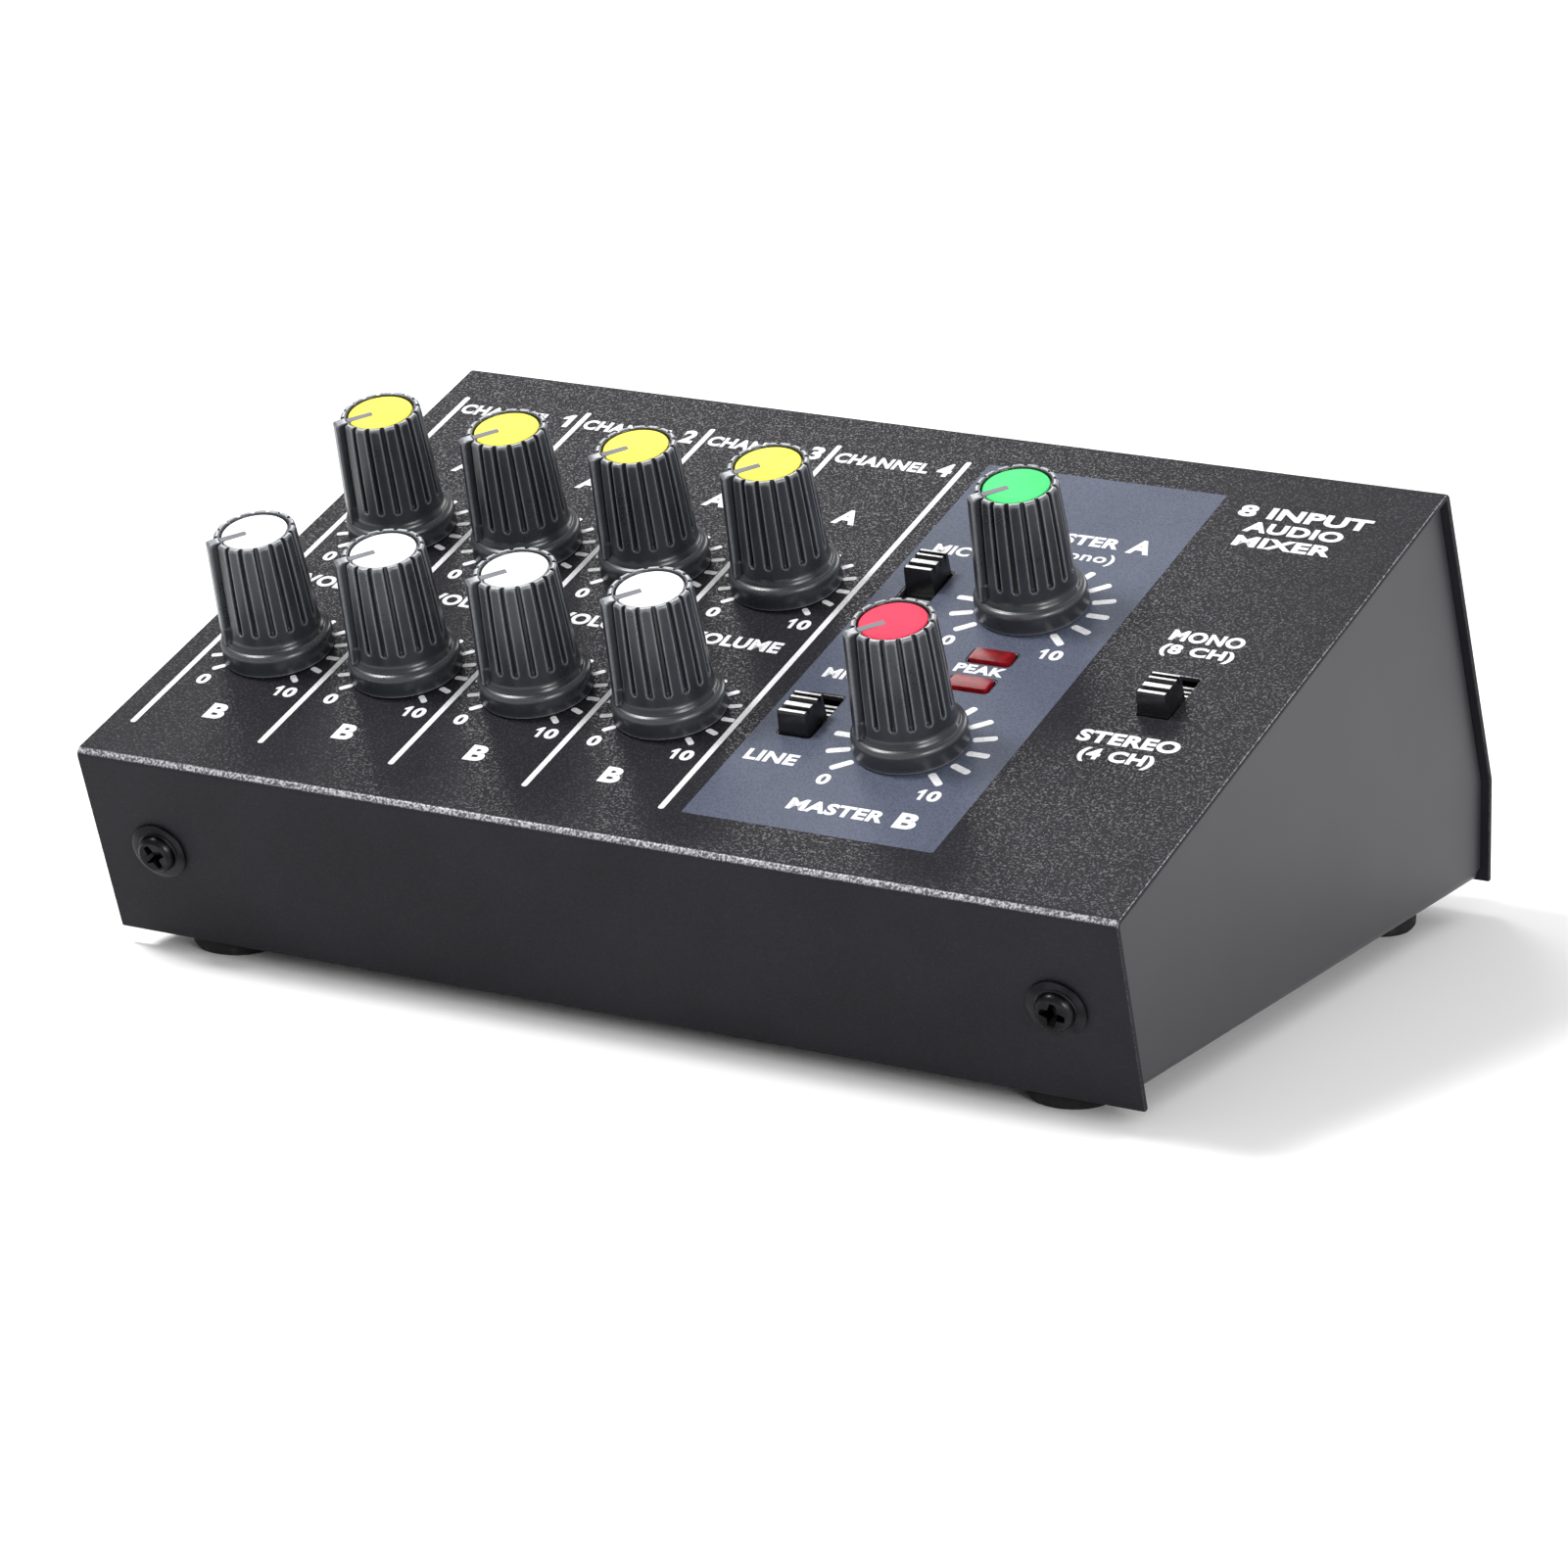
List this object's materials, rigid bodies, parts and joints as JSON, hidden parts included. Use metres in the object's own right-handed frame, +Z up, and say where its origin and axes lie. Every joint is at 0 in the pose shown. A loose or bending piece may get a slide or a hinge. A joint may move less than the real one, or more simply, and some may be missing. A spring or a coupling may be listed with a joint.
{
  "type": "audio mixing console",
  "caption": "Compact desktop line and microphone mixer in a bent steel case with a sloping control panel, rotary level controls, slide switches, peak lamps and rear jacks.",
  "frame": {"origin": "on the supporting surface, under the middle of the case's outer box", "axes": "+X to the right along the panel, +Y from the front edge to the back, +Z up"},
  "size_m": [0.184, 0.1505, 0.0846],
  "materials": {
    "cover_paint": "fine wrinkle powder coat, satin",
    "tray_paint": "smooth satin powder coat",
    "rubber": "matt",
    "screw_steel": "black oxide, slightly glossy",
    "knob_plastic": "satin gloss moulded",
    "cap_yellow": "satin",
    "cap_white": "satin",
    "cap_green": "satin",
    "cap_red": "satin",
    "shaft_metal": "turned",
    "lever_plastic": "satin moulded",
    "switch_steel": "plated",
    "board": "solder resist",
    "lamp_red": "translucent, glossy",
    "jack_plastic": "moulded",
    "ribbon": "flexible"
  },
  "bodies": {
    "case": {"top_cover": "cover_paint", "base_tray": "tray_paint", "ribbon_cable": "ribbon", "foot_front_left": "rubber", "foot_front_right": "rubber", "foot_rear_left": "rubber", "foot_rear_right": "rubber", "control_board": "board", "input_a_switch_body": "switch_steel", "input_b_switch_body": "switch_steel", "mode_switch_body": "switch_steel", "peak_lamp_a": "lamp_red", "peak_lamp_b": "lamp_red", "front_screw_left": "screw_steel", "front_screw_right": "screw_steel", "output_jacks": "jack_plastic", "channel_1_jacks": "jack_plastic", "channel_2_jacks": "jack_plastic", "channel_3_jacks": "jack_plastic", "channel_4_jacks": "jack_plastic", "power_inlet": "jack_plastic", "jack_board": "board", "rear_screw_left": "screw_steel", "rear_screw_right": "screw_steel"},
    "channel_1_a_control": {"channel_1_a_knob": "knob_plastic", "channel_1_a_cap": "cap_yellow", "channel_1_a_shaft": "shaft_metal"},
    "channel_1_b_control": {"channel_1_b_knob": "knob_plastic", "channel_1_b_cap": "cap_white", "channel_1_b_shaft": "shaft_metal"},
    "channel_2_a_control": {"channel_2_a_knob": "knob_plastic", "channel_2_a_cap": "cap_yellow", "channel_2_a_shaft": "shaft_metal"},
    "channel_2_b_control": {"channel_2_b_knob": "knob_plastic", "channel_2_b_cap": "cap_white", "channel_2_b_shaft": "shaft_metal"},
    "channel_3_a_control": {"channel_3_a_knob": "knob_plastic", "channel_3_a_cap": "cap_yellow", "channel_3_a_shaft": "shaft_metal"},
    "channel_3_b_control": {"channel_3_b_knob": "knob_plastic", "channel_3_b_cap": "cap_white", "channel_3_b_shaft": "shaft_metal"},
    "channel_4_a_control": {"channel_4_a_knob": "knob_plastic", "channel_4_a_cap": "cap_yellow", "channel_4_a_shaft": "shaft_metal"},
    "channel_4_b_control": {"channel_4_b_knob": "knob_plastic", "channel_4_b_cap": "cap_white", "channel_4_b_shaft": "shaft_metal"},
    "master_a_control": {"master_a_knob": "knob_plastic", "master_a_cap": "cap_green", "master_a_shaft": "shaft_metal"},
    "master_b_control": {"master_b_knob": "knob_plastic", "master_b_cap": "cap_red", "master_b_shaft": "shaft_metal"},
    "input_a_slider": {"input_a_switch_lever": "lever_plastic"},
    "input_b_slider": {"input_b_switch_lever": "lever_plastic"},
    "mode_slider": {"mode_switch_lever": "lever_plastic"}
  },
  "joints": [
    {"name": "channel_1_a_turn", "type": "hinge", "parent": "case", "child": "channel_1_a_control", "pos_m": [-0.075, -0.00419, 0.06001], "axis": [0, 0.3256, -0.9455], "range_deg": [0, 270]},
    {"name": "channel_1_b_turn", "type": "hinge", "parent": "case", "child": "channel_1_b_control", "pos_m": [-0.075, -0.04201, 0.04699], "axis": [0, 0.3256, -0.9455], "range_deg": [0, 270]},
    {"name": "channel_2_a_turn", "type": "hinge", "parent": "case", "child": "channel_2_a_control", "pos_m": [-0.0506, -0.00419, 0.06001], "axis": [0, 0.3256, -0.9455], "range_deg": [0, 270]},
    {"name": "channel_2_b_turn", "type": "hinge", "parent": "case", "child": "channel_2_b_control", "pos_m": [-0.0506, -0.04201, 0.04699], "axis": [0, 0.3256, -0.9455], "range_deg": [0, 270]},
    {"name": "channel_3_a_turn", "type": "hinge", "parent": "case", "child": "channel_3_a_control", "pos_m": [-0.0262, -0.00419, 0.06001], "axis": [0, 0.3256, -0.9455], "range_deg": [0, 270]},
    {"name": "channel_3_b_turn", "type": "hinge", "parent": "case", "child": "channel_3_b_control", "pos_m": [-0.0262, -0.04201, 0.04699], "axis": [0, 0.3256, -0.9455], "range_deg": [0, 270]},
    {"name": "channel_4_a_turn", "type": "hinge", "parent": "case", "child": "channel_4_a_control", "pos_m": [-0.0018, -0.00419, 0.06001], "axis": [0, 0.3256, -0.9455], "range_deg": [0, 270]},
    {"name": "channel_4_b_turn", "type": "hinge", "parent": "case", "child": "channel_4_b_control", "pos_m": [-0.0018, -0.04201, 0.04699], "axis": [0, 0.3256, -0.9455], "range_deg": [0, 270]},
    {"name": "master_a_turn", "type": "hinge", "parent": "case", "child": "master_a_control", "pos_m": [0.041, -0.00126, 0.06102], "axis": [0, 0.3256, -0.9455], "range_deg": [0, 270]},
    {"name": "master_b_turn", "type": "hinge", "parent": "case", "child": "master_b_control", "pos_m": [0.0403, -0.04116, 0.04728], "axis": [0, 0.3256, -0.9455], "range_deg": [0, 270]},
    {"name": "input_a_slide", "type": "slide", "parent": "case", "child": "input_a_slider", "axis": [0, 0.9455, 0.3256], "range_m": [-0.0054, 0]},
    {"name": "input_b_slide", "type": "slide", "parent": "case", "child": "input_b_slider", "axis": [0, 0.9455, 0.3256], "range_m": [0, 0.0054]},
    {"name": "mode_slide", "type": "slide", "parent": "case", "child": "mode_slider", "axis": [0, 0.9455, 0.3256], "range_m": [0, 0.0054]}
  ]
}
